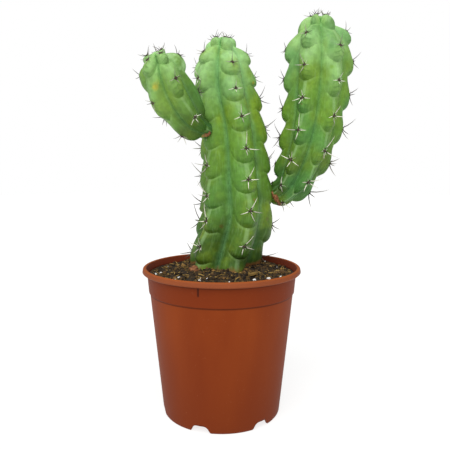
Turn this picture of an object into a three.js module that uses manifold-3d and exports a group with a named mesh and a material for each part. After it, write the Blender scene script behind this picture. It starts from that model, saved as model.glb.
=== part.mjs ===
// A tall ribbed cactus with a side arm on each side, growing in a round plastic nursery pot.
// Millimetres, +Z up. The origin is the centre of the pot's foot, on the surface it stands on.
// The front of the plant faces -Y.
import * as THREE from "three";
import { mergeVertices } from "three/addons/utils/BufferGeometryUtils.js";
import Module from "manifold-3d";

const wasm = await Module();
wasm.setup();

// ---- Driving dimensions ----

const FIT_GAP = 0.5; // clearance between a stem and the soil or stem that it grows out of

const POT = {
  rimRadius: 85,
  height: 160,
  beadHeight: 6.5,
  // corners of the rim's bead, from the underside to the inner lip, as [in from the rim, down from the top]
  bead: [
    [2, 6.5],
    [0, 4.9],
    [0.7, 1.2],
    [2.4, 0],
    [4.2, 0.6],
  ],
  beadUndercut: 0.6,
  collarTopRadius: 79.9,
  collarBottomRadius: 78.2,
  collarBottomHeight: 133.5,
  stepRadius: 76.7,
  stepHeight: 129.5,
  ledge: 0.8, // height of the step under the collar
  heelRadius: 64.2,
  heelHeight: 7,
  footRadius: 62.8,
  footWidth: 3,
  // corners of the foot's outer edge, as [out from the foot's radius, height]
  footEdge: [
    [-0.5, 0],
    [0.7, 1.6],
  ],
  floorFillet: { reach: 3, rise: 4 },
  wall: 1.7,
  floorHeight: 9, // underside of the floor, above the surface that the pot stands on
  segments: 64,
};

const NOTCH = { count: 6, firstAzimuth: -20, width: 22, topWidth: 14, height: 7.5, corner: 3, depth: 16 };

const DRAIN = { count: 6, radius: 4.5, circle: 42, sides: 16 };

const SOIL = {
  wallLevel: 152.5,
  moundHeight: 5,
  moundReach: [34, 72], // from the stem, where the mound starts to fall and where it ends
  gap: 0.3,
  lumpHeight: 1.8,
  // waves that add up to the lumps, as [turn per mm along X, turn per mm along Y, start]
  lumpWaves: [
    [0.31, 0.12, 1.3],
    [-0.14, 0.29, 0.4],
    [0.24, -0.21, 2.1],
  ],
  calmEdge: [66, 76], // the lumps die away between these radii, so the edge stays level
  rings: 9,
  segments: 40,
};

// Coarse crumbs of bark and peat that lie on the soil.
const CRUMB = { count: 44, sizes: [1.8, 3.4], shape: [1, 0.72, 0.6], reach: 71, seed: 41 };

// Perlite grains, half sunk in the soil.
const PERLITE = {
  radius: 1.6,
  sizes: [0.7, 1.2],
  shape: [1.2, 1, 0.8],
  seed: 23,
  positions: [
    [-65, -6],
    [-22, -50],
    [-18, -61],
    [-13, -54],
    [15, -66],
    [48, -36],
    [42, 25],
    [-48, -40],
    [60, 12],
    [-30, 58],
    [20, 62],
    [-62, 30],
  ],
};

const CHIP = {
  length: 9.5,
  width: 6,
  thickness: 2.6,
  position: [32, -31],
  turn: 14,
  taper: 0.45,
  round: 0.4,
  curl: 0.5,
};

// A stem's path lists points on its centre line from its root to its tip. Girth lists [share of the length,
// radius over the bulges]. Ribs turn from rootAzimuth to tipAzimuth, counted from the front towards +X, and
// ribTurn is how far each of them strays from even spacing.
// The smaller bulgeWidth, the faster a bulge fades towards the grooves. A bulge stands out most at its crown,
// a share of the way from the crease above to the crease below, and the higher its rise, the hollower it
// starts from the crease above. Bulges are firstPitch as far apart at the tip as lower down, and come to
// their full spacing over about youngStretch bulges.
const MAIN_STEM = {
  name: "main_stem",
  path: [
    [-4, 18, 122],
    [2.5, 17, 165],
    [14.5, 15, 210],
    [14, 14, 250],
    [10.5, 12, 302],
    [2, 11, 350],
    [0.5, 10, 399],
  ],
  girth: [
    [0, 18],
    [0.1, 38.5],
    [0.2, 42],
    [0.35, 43.5],
    [0.6, 39],
    [0.8, 37],
    [0.9, 33],
    [1, 27],
  ],
  domeHeight: 30,
  ribs: 5,
  rootAzimuth: 28,
  tipAzimuth: 25,
  ribTurn: [-7, 0, 0, 0, 0],
  grooveDepth: 0.3,
  bulge: 4.9,
  bulgeWidth: 1.25,
  crown: 0.67,
  rise: 1.15,
  bulgesPerRib: 10.4,
  firstPitch: 0.45,
  youngStretch: 2.9,
  ribPhase: [0.77, 0.23, 0.95, 0.68, 0.26],
  smoothRoot: 0.14,
};

const RIGHT_ARM = {
  name: "right_arm",
  path: [
    [54, 20, 229],
    [72, 18, 242],
    [86.5, 14, 271],
    [95, 11, 301],
    [101, 8, 350],
    [102, 7, 420],
  ],
  girth: [
    [0, 5],
    [0.03, 11],
    [0.08, 18],
    [0.16, 23.5],
    [0.3, 29.5],
    [0.5, 34],
    [0.8, 36],
    [0.9, 34],
    [1, 28],
  ],
  domeHeight: 29,
  ribs: 6,
  rootAzimuth: 30,
  tipAzimuth: 26,
  ribTurn: [0, 0, 0, 0, 0, 0],
  grooveDepth: 0.2,
  bulge: 5.1,
  bulgeWidth: 1.1,
  crown: 0.6,
  rise: 1.7,
  bulgesPerRib: 7.63,
  firstPitch: 0.23,
  youngStretch: 1.16,
  ribPhase: [0.91, 0.23, 0.7, 0.3, 0.84, 0.48],
  smoothRoot: 0.1,
};

const LEFT_ARM = {
  name: "left_arm",
  path: [
    [-12, -11, 301],
    [-29, -25, 310],
    [-47.5, -42, 334],
    [-61.5, -58, 371],
  ],
  girth: [
    [0, 6],
    [0.1, 13],
    [0.25, 19],
    [0.5, 24.5],
    [0.8, 25],
    [1, 21],
  ],
  domeHeight: 15,
  ribs: 5,
  rootAzimuth: 8,
  tipAzimuth: 32,
  ribTurn: [0, 0, 0, 0, 0],
  grooveDepth: 0.2,
  bulge: 4.2,
  bulgeWidth: 1.25,
  crown: 0.6,
  rise: 1.2,
  bulgesPerRib: 3.3,
  firstPitch: 0.42,
  youngStretch: 1,
  ribPhase: [-0.17, -0.61, 0.2, -0.33, 0.2],
  smoothRoot: 0.12,
};

const TUBERCLE = {
  areole: 0.48, // where the spines sit, as a share of the way from one crease down to the next
  lastAreole: 0.6, // how many bulges above the root the last ones sit, at the least
  // rows of vertices, as [share of the way from the crease above to the crown, and on to the crease below]
  rows: [
    [0, 0],
    [0.35, 0],
    [0.7, 0],
    [1, 0],
    [1, 0.6],
  ],
  droop: 0.3, // how far a bulge sags towards the root, as a share of how far it stands out
  curl: 0.38, // how far each crease climbs towards the grooves
  flank: 1.5, // the higher, the broader the ribs and the narrower the grooves
  crestRound: 0.16, // how broad the top of a rib is
  sideCrown: 0.13, // how much further down the bulges stand out at the flanks of a rib
  tipGrowth: 0.5, // how many bulges from the tip the first ones have grown to their full height
  apexRise: 0.8, // how far the middle of the tip stands out between the first bulges, in heights of a bulge
  youngReach: 1.4, // how many bulges at the tip stand level with each other round the stem
  youngBulges: [0.8, 2.4], // the bulges are knobs down to the first of these, and plain from the second
  youngSwell: 0.6, // how much more a knob stands out
  youngWidth: 2, // bulgeWidth of a knob
  youngGroove: 0.12, // how much deeper the grooves between knobs are
};

const COLUMNS_PER_RIB = 6;

const SHORTEST_EDGE = 0.02; // shorter edges, left where spines join a stem, are closed up

const TIP_ROW = 0.2; // the first ring of vertices, in bulges from the tip

const SPINE = {
  radius: 0.6,
  sunk: 2.4,
  ring: 1.9, // how far its foot is from the middle of the areole
  sides: 3,
  seed: 5,
  // [turn about the areole from the tip's side, tilt away from straight out, length] of each spine
  cluster: [
    [10, 40, 18],
    [100, 62, 13],
    [180, 58, 12],
    [262, 62, 13],
  ],
  spread: 18, // how far each turn and tilt strays
  lengths: [0.6, 1.25], // how far the lengths stray, from least to most
  young: 0.5, // length at the tip, as a share of the length from matureAt bulges down
  matureAt: 6,
  clearance: 2.5, // from another stem, and over the soil
};

// ---- Helpers ----

const { clamp, degToRad: radians, euclideanModulo, lerp, mapLinear, smoothstep } = THREE.MathUtils;

// The same numbers on every run.
function seededRandom(seed) {
  let state = seed;
  return () => {
    state = (state * 16807) % 2147483647;
    return (state - 1) / 2147483646;
  };
}

function solidFrom(geometry) {
  const bare = geometry.index ? geometry.toNonIndexed() : geometry.clone();
  const positions = new THREE.BufferGeometry().setAttribute("position", bare.getAttribute("position"));
  const merged = mergeVertices(positions, 1e-4);
  return new wasm.Manifold(
    new wasm.Mesh({
      numProp: 3,
      vertProperties: new Float32Array(merged.attributes.position.array),
      triVerts: new Uint32Array(merged.index.array),
    }),
  );
}

function geometryFrom(solid) {
  const mesh = solid.getMesh();
  const geometry = new THREE.BufferGeometry();
  geometry.setAttribute("position", new THREE.BufferAttribute(mesh.vertProperties, 3));
  geometry.setIndex(new THREE.BufferAttribute(mesh.triVerts, 1));
  geometry.computeVertexNormals();
  return geometry;
}

// What a cut leaves loose is dropped.
function largestPiece(solid) {
  const pieces = solid.decompose();
  return pieces.reduce((best, piece) => (piece.volume() > best.volume() ? piece : best));
}

// A smooth value through [share, value] stations.
function through(stations, share) {
  const last = stations.length - 1;
  const x = clamp(share, stations[0][0], stations[last][0]);
  let i = 0;
  while (i < last - 1 && x > stations[i + 1][0]) i++;
  const slope = (k) => {
    const a = stations[Math.max(k - 1, 0)];
    const b = stations[Math.min(k + 1, last)];
    return (b[1] - a[1]) / (b[0] - a[0]);
  };
  const [x0, y0] = stations[i];
  const [x1, y1] = stations[i + 1];
  const width = x1 - x0;
  const t = (x - x0) / width;
  const rise = (y1 - y0) / width;
  const c = 3 * rise - 2 * slope(i) - slope(i + 1);
  const d = slope(i) + slope(i + 1) - 2 * rise;
  return y0 + width * (slope(i) * t + c * t * t + d * t * t * t);
}

// ---- Stems ----

function stemCurve(stem) {
  return new THREE.CatmullRomCurve3(stem.path.map((point) => new THREE.Vector3(...point)));
}

// Spacing so many bulges from the tip, as a share of the full spacing.
function pitchAt({ firstPitch, youngStretch }, bulges) {
  return 1 - (1 - firstPitch) * Math.exp(-bulges / youngStretch);
}

// Distance from the tip, in bulges of full spacing, after so many bulges.
function pitchSum({ firstPitch, youngStretch }, bulges) {
  return bulges - (1 - firstPitch) * youngStretch * (1 - Math.exp(-bulges / youngStretch));
}

// Height of a bulge, 0 in the creases above and below it and 1 at its crown.
function bulgeProfile(stem, phase, offCrest) {
  const share = phase - Math.floor(phase);
  const crown = stem.crown + TUBERCLE.sideCrown * smoothstep(offCrest, 0, 0.5);
  if (share < crown) return Math.sin((Math.PI / 2) * (share / crown)) ** stem.rise;
  return Math.cos((Math.PI / 2) * ((share - crown) / (1 - crown)));
}

// A ribbed stem's surface. phase counts bulges down from the tip, and column counts COLUMNS_PER_RIB
// columns to a rib, starting on the crest of the first one. swell grows the stem, for the hole that it fills.
function makeStem(stem, swell = 0) {
  const curve = stemCurve(stem);
  const length = curve.getLength();
  const shoulder = through(stem.girth, 1 - stem.domeHeight / length);
  const domeArc = (Math.PI / 2) * Math.sqrt((shoulder ** 2 + stem.domeHeight ** 2) / 2);
  const profileLength = domeArc + length - stem.domeHeight;

  // How far off its crest a column lies, 0 on the crest and 1 in the groove, the same with the crest rounded
  // off, how late its bulges come and how far its rib strays.
  function ribAt(column) {
    const position = column / COLUMNS_PER_RIB;
    const rib = Math.round(position);
    const offCrest = 2 * Math.abs(position - rib);
    const neighbour = rib + (Math.sign(position - rib) || 1);
    const [here, there] = [rib, neighbour].map((index) => euclideanModulo(index, stem.ribs));
    const late = lerp(stem.ribPhase[here], stem.ribPhase[there], smoothstep(offCrest, 0.5, 1) / 2);
    const stray = lerp(stem.ribTurn[here], stem.ribTurn[there], offCrest / 2);
    const { crestRound, curl, flank } = TUBERCLE;
    const across = (Math.hypot(offCrest, crestRound) - crestRound) / (Math.hypot(1, crestRound) - crestRound);
    return { offCrest, across, late: late - curl * across ** flank, stray };
  }

  // Where a row of the surface crosses the profile: its share of the length from the root, and lift, which
  // turns from 0 on the axis at the tip to a quarter turn where the dome meets the side.
  function profileAt(bulges) {
    const down = (profileLength * pitchSum(stem, bulges)) / pitchSum(stem, stem.bulgesPerRib);
    const lift = (Math.PI / 2) * Math.min(down / domeArc, 1);
    const along = down < domeArc ? length - stem.domeHeight * (1 - Math.cos(lift)) : profileLength - down;
    return { share: clamp(along / length, 0, 1), lift };
  }

  function pointAt(phase, column) {
    const { offCrest, across, late, stray } = ribAt(column);
    const { youngReach } = TUBERCLE;
    const ends = smoothstep(phase, 0, youngReach) * smoothstep(stem.bulgesPerRib - phase, 0, youngReach);
    const bulges = clamp(phase + late * ends, 0, stem.bulgesPerRib);
    const { share, lift } = profileAt(bulges);
    const rooted = smoothstep(share, 0, stem.smoothRoot);

    const young = 1 - smoothstep(phase, ...TUBERCLE.youngBulges);
    const size = stem.bulge * Math.sqrt(pitchAt(stem, phase));
    const knob = size * TUBERCLE.youngSwell * young;
    const bulge = (size + knob) * rooted * smoothstep(phase, 0, TUBERCLE.tipGrowth);
    const width = lerp(stem.bulgeWidth, TUBERCLE.youngWidth, young);
    const stand = bulge * bulgeProfile(stem, phase, offCrest) * (1 - across ** width) ** (2 - young);
    const depth = (stem.grooveDepth + TUBERCLE.youngGroove * young) * rooted;
    const groove = 1 - depth * across ** TUBERCLE.flank;
    const crest = through(stem.girth, share) - bulge + swell;
    const radius = (crest * groove + stand) * Math.sin(lift);
    const pastRoot = bulges < stem.bulgesPerRib ? 0 : swell;
    const sag = TUBERCLE.droop * (1 - young) * stand;
    const middle = (knob + size * TUBERCLE.apexRise) * (1 - smoothstep(phase, 0, TUBERCLE.tipGrowth));
    const climb = (stand + middle - knob + swell) * Math.cos(lift) - sag - pastRoot;

    const tangent = curve.getTangentAt(share);
    const front = new THREE.Vector3(0, -1, 0);
    front.addScaledVector(tangent, -front.dot(tangent)).normalize();
    const side = new THREE.Vector3().crossVectors(tangent, front);
    const round = (360 * column) / (COLUMNS_PER_RIB * stem.ribs) + stray;
    const azimuth = radians(lerp(stem.rootAzimuth, stem.tipAzimuth, share) + round);
    return curve
      .getPointAt(share)
      .addScaledVector(tangent, climb)
      .addScaledVector(front, radius * Math.cos(azimuth))
      .addScaledVector(side, radius * Math.sin(azimuth));
  }

  // Which way the surface faces, and which way runs along it to the tip.
  function facingAt(phase, column) {
    const step = 0.05;
    const up = pointAt(phase - step, column).sub(pointAt(phase + step, column)).normalize();
    const across = pointAt(phase, column + step).sub(pointAt(phase, column - step)).normalize();
    return { out: new THREE.Vector3().crossVectors(across, up).normalize(), up, across };
  }

  function surface() {
    const columns = COLUMNS_PER_RIB * stem.ribs;
    const phases = [];
    for (let bulge = 0; bulge < stem.bulgesPerRib; bulge++)
      for (const [above, below] of TUBERCLE.rows) {
        const phase = bulge + above * stem.crown + below * (1 - stem.crown);
        if (phase > TIP_ROW && phase < stem.bulgesPerRib - TIP_ROW) phases.push(phase);
      }
    phases.push(stem.bulgesPerRib);
    const points = [pointAt(0, 0)];
    for (const phase of phases)
      for (let column = 0; column < columns; column++) points.push(pointAt(phase, column));
    const rootCentre = points.length;
    points.push(curve.getPointAt(0).addScaledVector(curve.getTangentAt(0), -swell));
    const at = (row, column) => 1 + row * columns + (column % columns);
    const faces = [];
    for (let column = 0; column < columns; column++) {
      faces.push(0, at(0, column), at(0, column + 1));
      for (let row = 0; row + 1 < phases.length; row++) {
        const [a, b] = [at(row, column), at(row, column + 1)];
        const [c, d] = [at(row + 1, column), at(row + 1, column + 1)];
        faces.push(a, c, d, a, d, b);
      }
      faces.push(rootCentre, at(phases.length - 1, column + 1), at(phases.length - 1, column));
    }
    const geometry = new THREE.BufferGeometry().setFromPoints(points);
    geometry.setIndex(faces);
    return geometry;
  }

  // Where each cluster of spines sits, and how many bulges from the tip that is.
  function areoles() {
    const found = [];
    for (let rib = 0; rib < stem.ribs; rib++)
      for (let bulge = 0; bulge + TUBERCLE.areole < stem.bulgesPerRib - TUBERCLE.lastAreole; bulge++) {
        const phase = bulge + TUBERCLE.areole;
        const column = rib * COLUMNS_PER_RIB;
        found.push({ point: pointAt(phase, column), ...facingAt(phase, column), age: bulge });
      }
    return found;
  }

  return { stem, curve, surface, areoles };
}

// Roughly how far a point is from a stem's surface, taking each stretch of the stem as a ball.
function distanceFrom(form, point) {
  const steps = 40;
  let nearest = Infinity;
  for (let i = 0; i <= steps; i++) {
    const centre = form.curve.getPointAt(i / steps);
    nearest = Math.min(nearest, centre.distanceTo(point) - through(form.stem.girth, i / steps));
  }
  return nearest;
}

// One spine as a closed cone, from its sunk root to its tip.
function makeSpine(root, direction, length) {
  const cone = new THREE.ConeGeometry(SPINE.radius, length + SPINE.sunk, SPINE.sides);
  cone.translate(0, (length + SPINE.sunk) / 2 - SPINE.sunk, 0);
  cone.applyQuaternion(new THREE.Quaternion().setFromUnitVectors(new THREE.Vector3(0, 1, 0), direction));
  return solidFrom(cone.translate(root.x, root.y, root.z));
}

// The spines of one stem, less those that would touch another stem or the soil. The knobs round the tip are
// too young to have more than the first spine of their clusters.
function makeSpines(form, neighbours) {
  const grownRandom = seededRandom(SPINE.seed);
  const youngRandom = seededRandom(SPINE.seed + 1);
  const lowest = SOIL.wallLevel + SOIL.moundHeight + SPINE.clearance;
  const spines = [];
  for (const areole of form.areoles())
    for (const [turn, tilt, length] of SPINE.cluster) {
      const random = areole.age ? grownRandom : youngRandom;
      const stray = () => radians(SPINE.spread * (2 * random() - 1));
      const around = radians(turn) + stray();
      const away = radians(tilt) + stray();
      const aside = areole.up.clone().multiplyScalar(Math.cos(around));
      aside.addScaledVector(areole.across, Math.sin(around));
      const foot = areole.point.clone().addScaledVector(aside, SPINE.ring);
      const direction = areole.out.clone().multiplyScalar(Math.cos(away));
      direction.addScaledVector(aside, Math.sin(away));
      const age = lerp(SPINE.young, 1, smoothstep(areole.age, 0, SPINE.matureAt));
      const grown = length * age * lerp(...SPINE.lengths, random());
      const tip = foot.clone().addScaledVector(direction, grown);
      const clear = neighbours.every(
        (other) => Math.min(distanceFrom(other, tip), distanceFrom(other, foot)) > SPINE.clearance,
      );
      const borne = areole.age || turn === SPINE.cluster[0][0];
      if (borne && clear && Math.min(tip.z, foot.z) > lowest) spines.push(makeSpine(foot, direction, grown));
    }
  return wasm.Manifold.union(spines);
}

// ---- Pot ----

// The wall's outside radius at a height below the step.
function potTaper(height) {
  const { heelHeight, stepHeight, heelRadius, stepRadius } = POT;
  return mapLinear(height, heelHeight, stepHeight, heelRadius, stepRadius);
}

function makePot() {
  const p = POT;
  const beadBottom = p.height - p.beadHeight;
  const floorTop = p.floorHeight + p.wall;
  const { reach, rise } = p.floorFillet;
  const footInside = p.footRadius - p.footWidth;
  const underLedge = p.collarBottomHeight - p.ledge;
  const outline = [
    [0, p.floorHeight],
    [footInside, p.floorHeight],
    [footInside, 0],
    ...p.footEdge.map(([out, height]) => [p.footRadius + out, height]),
    [p.heelRadius, p.heelHeight],
    [potTaper(underLedge), underLedge],
    [p.collarBottomRadius, p.collarBottomHeight],
    [p.collarTopRadius, beadBottom - p.beadUndercut],
    ...p.bead.map(([inward, down]) => [p.rimRadius - inward, p.height - down]),
    [p.collarTopRadius - p.wall, beadBottom],
    [p.collarBottomRadius - p.wall, p.collarBottomHeight],
    [p.stepRadius - p.wall, p.stepHeight],
    [potTaper(floorTop + rise) - p.wall, floorTop + rise],
    [potTaper(floorTop) - p.wall - reach, floorTop],
    [0, floorTop],
  ];
  const turned = new THREE.LatheGeometry(
    outline.map((point) => new THREE.Vector2(...point)),
    p.segments,
  );
  const body = solidFrom(turned.rotateX(Math.PI / 2));
  return body.subtract(wasm.Manifold.union([...footNotches(), ...drainHoles()]));
}

// Wedges that cut the arched notches out of the foot.
function footNotches() {
  const { count, firstAzimuth, width, topWidth, height, corner, depth } = NOTCH;
  const top = topWidth / 2;
  const bottom = width - top; // half its width, as far under the ground as it is high
  const slant = corner / Math.hypot(bottom - top, 2 * height);
  const side = [top + slant * (bottom - top), height - slant * 2 * height];
  const arch = new THREE.Shape();
  arch.moveTo(-bottom, -height);
  arch.lineTo(bottom, -height);
  arch.lineTo(...side);
  arch.quadraticCurveTo(top, height, top - corner, height);
  arch.lineTo(corner - top, height);
  arch.quadraticCurveTo(-top, height, -side[0], side[1]);
  arch.closePath();
  return Array.from({ length: count }, (_, i) => {
    const cutter = new THREE.ExtrudeGeometry(arch, { depth, bevelEnabled: false, curveSegments: 3 });
    cutter.rotateX(Math.PI / 2).translate(0, depth / 2 + POT.footWidth - POT.footRadius, 0);
    return solidFrom(cutter.rotateZ(radians(firstAzimuth + (360 * i) / count)));
  });
}

function drainHoles() {
  const { count, radius, circle, sides } = DRAIN;
  return Array.from({ length: count + 1 }, (_, i) => {
    const hole = new THREE.CylinderGeometry(radius, radius, 4 * POT.wall, sides);
    hole.rotateX(Math.PI / 2).translate(0, i < count ? -circle : 0, POT.floorHeight + POT.wall / 2);
    return solidFrom(hole.rotateZ(radians(NOTCH.firstAzimuth + (360 * i) / count)));
  });
}

// ---- Soil ----

// Height of the soil's surface, mounded around the stem and lumpy.
function soilHeight(x, y) {
  const [stemX, stemY] = MAIN_STEM.path[1];
  const mound = SOIL.moundHeight * (1 - smoothstep(Math.hypot(x - stemX, y - stemY), ...SOIL.moundReach));
  const waves = SOIL.lumpWaves.map(([alongX, alongY, start]) => Math.sin(alongX * x + alongY * y + start));
  const lumps = waves.reduce((sum, wave) => sum + wave, 0) / waves.length;
  const calm = 1 - smoothstep(Math.hypot(x, y), ...SOIL.calmEdge);
  return SOIL.wallLevel + mound + SOIL.lumpHeight * lumps * calm;
}

function makeSoil(stemForm) {
  const { wallLevel, gap, rings, segments } = SOIL;
  const { reach, rise } = POT.floorFillet;
  const inside = POT.wall + gap;
  const bottom = POT.floorHeight + inside;
  const beadBottom = POT.height - POT.beadHeight;
  const collar = [POT.collarBottomHeight, beadBottom, POT.collarBottomRadius, POT.collarTopRadius];
  const topRadius = mapLinear(wallLevel, ...collar) - inside;
  const outline = [
    [0, bottom],
    [potTaper(bottom) - inside - reach, bottom],
    [potTaper(bottom + rise) - inside, bottom + rise],
    [POT.stepRadius - inside, POT.stepHeight],
    [POT.collarBottomRadius - inside, POT.collarBottomHeight],
  ];
  for (let ring = 0; ring <= rings; ring++) outline.push([topRadius * (1 - ring / rings), wallLevel]);
  const turned = new THREE.LatheGeometry(
    outline.map((point) => new THREE.Vector2(...point)),
    segments,
  );
  turned.rotateX(Math.PI / 2);
  const positions = turned.attributes.position;
  for (let i = 0; i < positions.count; i++)
    if (positions.getZ(i) > wallLevel - gap)
      positions.setZ(i, soilHeight(positions.getX(i), positions.getY(i)));
  const loose = wasm.Manifold.union([...crumbs(), ...perlite()]);
  return solidFrom(turned).add(loose).subtract(stemForm);
}

// One crumb or grain, half sunk in the soil.
function grainAt(x, y, size, shape, turn) {
  const grain = new THREE.OctahedronGeometry(size, 0);
  grain.scale(...shape).rotateZ(turn).translate(x, y, soilHeight(x, y) + SOIL.gap);
  return solidFrom(grain);
}

function crumbs() {
  const random = seededRandom(CRUMB.seed);
  return Array.from({ length: CRUMB.count }, () => {
    const circle = CRUMB.reach * Math.sqrt(random());
    const azimuth = 2 * Math.PI * random();
    const [x, y] = [circle * Math.cos(azimuth), circle * Math.sin(azimuth)];
    return grainAt(x, y, lerp(...CRUMB.sizes, random()), CRUMB.shape, Math.PI * random());
  });
}

function perlite() {
  const random = seededRandom(PERLITE.seed);
  return PERLITE.positions.map(([x, y]) => {
    const size = PERLITE.radius * lerp(...PERLITE.sizes, random());
    return grainAt(x, y, size, PERLITE.shape, Math.PI * random());
  });
}

// A chip of bark, curled a little, let down until it lies on the soil.
function makeChip(soil) {
  const { length, width, thickness, position, turn, taper, round, curl } = CHIP;
  const chip = new THREE.BoxGeometry(length, width, thickness, 3, 2, 1);
  const points = chip.attributes.position;
  for (let i = 0; i < points.count; i++) {
    const [x, y, z] = [points.getX(i), points.getY(i), points.getZ(i)];
    points.setY(i, y * (1 - taper * (2 * Math.abs(x / length)) ** 2));
    points.setZ(i, z * (1 - round * Math.abs(y / width)) + curl * Math.sin(x));
  }
  const perched = solidFrom(chip.rotateZ(radians(turn)).translate(...position, POT.height + thickness));
  const drop = perched.minGap(soil, POT.height) - SOIL.gap;
  return perched.translate(0, 0, -drop);
}

// ---- Assembly ----

const material = (color, roughness) => new THREE.MeshStandardMaterial({ color, roughness, metalness: 0 });

const MATERIALS = {
  pot: material(0xa34e2c, 0.45),
  soil: material(0x3d2a1e, 1),
  bark: material(0xa87b4c, 0.9),
  skin: material(0x6fa04a, 0.5),
};

function named(name, solid, look) {
  const mesh = new THREE.Mesh(geometryFrom(solid), look);
  mesh.name = name;
  return mesh;
}

const forms = [MAIN_STEM, RIGHT_ARM, LEFT_ARM].map((stem) => makeStem(stem));
const swollenMain = solidFrom(makeStem(MAIN_STEM, FIT_GAP).surface());

function makeGrowth(form) {
  const neighbours = forms.filter((other) => other !== form);
  let solid = solidFrom(form.surface());
  if (form.stem !== MAIN_STEM) solid = largestPiece(solid.subtract(swollenMain));
  return largestPiece(solid.add(makeSpines(form, neighbours)).simplify(SHORTEST_EDGE));
}

const soil = largestPiece(makeSoil(swollenMain));
const plant = new THREE.Group();
plant.add(named("pot", makePot(), MATERIALS.pot));
plant.add(named("soil", soil, MATERIALS.soil));
plant.add(named("bark_chip", makeChip(soil), MATERIALS.bark));
for (const form of forms) plant.add(named(form.stem.name, makeGrowth(form), MATERIALS.skin));

export default plant;
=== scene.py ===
import math
import random

import bmesh
import bpy
from mathutils import Matrix, Quaternion, Vector, noise


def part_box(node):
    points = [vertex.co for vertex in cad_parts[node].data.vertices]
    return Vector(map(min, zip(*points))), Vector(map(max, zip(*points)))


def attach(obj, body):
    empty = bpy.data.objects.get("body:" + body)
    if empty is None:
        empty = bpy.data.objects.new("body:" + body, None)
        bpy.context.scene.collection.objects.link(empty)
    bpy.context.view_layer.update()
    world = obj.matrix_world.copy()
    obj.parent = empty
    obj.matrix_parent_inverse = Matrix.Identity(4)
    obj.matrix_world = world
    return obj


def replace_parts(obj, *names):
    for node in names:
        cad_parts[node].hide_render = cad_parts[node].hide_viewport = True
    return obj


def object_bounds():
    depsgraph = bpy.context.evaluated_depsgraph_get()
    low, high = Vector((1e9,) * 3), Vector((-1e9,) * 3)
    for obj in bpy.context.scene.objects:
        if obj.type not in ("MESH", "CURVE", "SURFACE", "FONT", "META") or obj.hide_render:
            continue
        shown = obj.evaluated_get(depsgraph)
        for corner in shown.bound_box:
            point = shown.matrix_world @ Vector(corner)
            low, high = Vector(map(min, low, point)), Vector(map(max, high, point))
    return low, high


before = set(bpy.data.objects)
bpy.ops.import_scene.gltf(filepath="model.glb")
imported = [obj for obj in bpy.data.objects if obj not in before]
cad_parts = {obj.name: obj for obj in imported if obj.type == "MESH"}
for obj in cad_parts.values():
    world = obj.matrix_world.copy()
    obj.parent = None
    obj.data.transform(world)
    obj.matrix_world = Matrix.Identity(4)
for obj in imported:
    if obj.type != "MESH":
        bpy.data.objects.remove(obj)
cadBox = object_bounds()
mm = 0.001
print("frame loaded")

# camera: level with the middle of the plant's lower half, looking slightly down

camera = {
    "position": (0.0, -0.578, 0.273),
    "lookDown": 6.8,  # degrees
    "lens": 43.4,  # on a 36 mm sensor
    "shiftX": 0.0076,
}


def addObject(name, data):
    made = bpy.data.objects.new(name, data)
    bpy.context.scene.collection.objects.link(made)
    return made


def addCamera():
    lens = bpy.data.cameras.new("camera")
    lens.lens = camera["lens"]
    lens.sensor_width = 36
    lens.shift_x = camera["shiftX"]
    lens.clip_start = 0.01
    holder = addObject("camera", lens)
    holder.location = camera["position"]
    holder.rotation_euler = (math.radians(90 - camera["lookDown"]), 0, 0)
    bpy.context.scene.camera = holder


addCamera()


def linearColour(code):
    channels = [int(code[i : i + 2], 16) / 255 for i in (1, 3, 5)]
    return [c / 12.92 if c <= 0.04045 else ((c + 0.055) / 1.055) ** 2.4 for c in channels] + [1]


def setInputs(tree, node, inputs):
    for key, value in inputs.items():
        if isinstance(value, bpy.types.NodeSocket):
            tree.links.new(value, node.inputs[key])
        else:
            node.inputs[key].default_value = value


def addNode(tree, kind, inputs=None, output=0, stops=(), **settings):  # stops are a colour ramp's
    node = tree.nodes.new("ShaderNode" + kind)
    for name, value in settings.items():
        setattr(node, name, value)
    setInputs(tree, node, inputs or {})
    for i, (place, colour) in enumerate(stops):
        ramp = node.color_ramp.elements
        stop = ramp[i] if i < 2 else ramp.new(place)
        stop.position, stop.color = place, linearColour(colour)
    return node.outputs if output is None else node.outputs[output]


def newMaterial(name):
    material = bpy.data.materials.new(name)
    material.use_nodes = True
    tree = material.node_tree
    return material, tree, tree.nodes["Principled BSDF"]


def joinSurface(tree, shader, colour, roughness, relief, reliefHeight, others=None):
    normal = addNode(tree, "Bump", {"Height": relief, "Distance": reliefHeight * mm, "Strength": 1})
    inputs = {"Base Color": colour, "Roughness": roughness, "Normal": normal}
    setInputs(tree, shader, {**inputs, **(others or {})})


def meshFrom(name, bm):
    mesh = bpy.data.meshes.new(name)
    bm.to_mesh(mesh)
    bm.free()
    return mesh


def makePiece(name, bm, material, smooth=True):
    for face in bm.faces:
        face.smooth = smooth
    mesh = meshFrom(name, bm)
    mesh.materials.append(material)
    piece = addObject(name, mesh)
    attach(piece, "root")
    return piece


def smoothStep(x, low, high):
    t = min(max((x - low) / (high - low), 0), 1)
    return t * t * (3 - 2 * t)


def mix(a, b, t):
    return a + (b - a) * t


def seededRandom(seed):  # the same draw as the solid model's, so the long spines match it
    state = seed
    while True:
        state = state * 16807 % 2147483647
        yield (state - 1) / 2147483646


# stems: sizes in millimetres, as in the solid model

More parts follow.
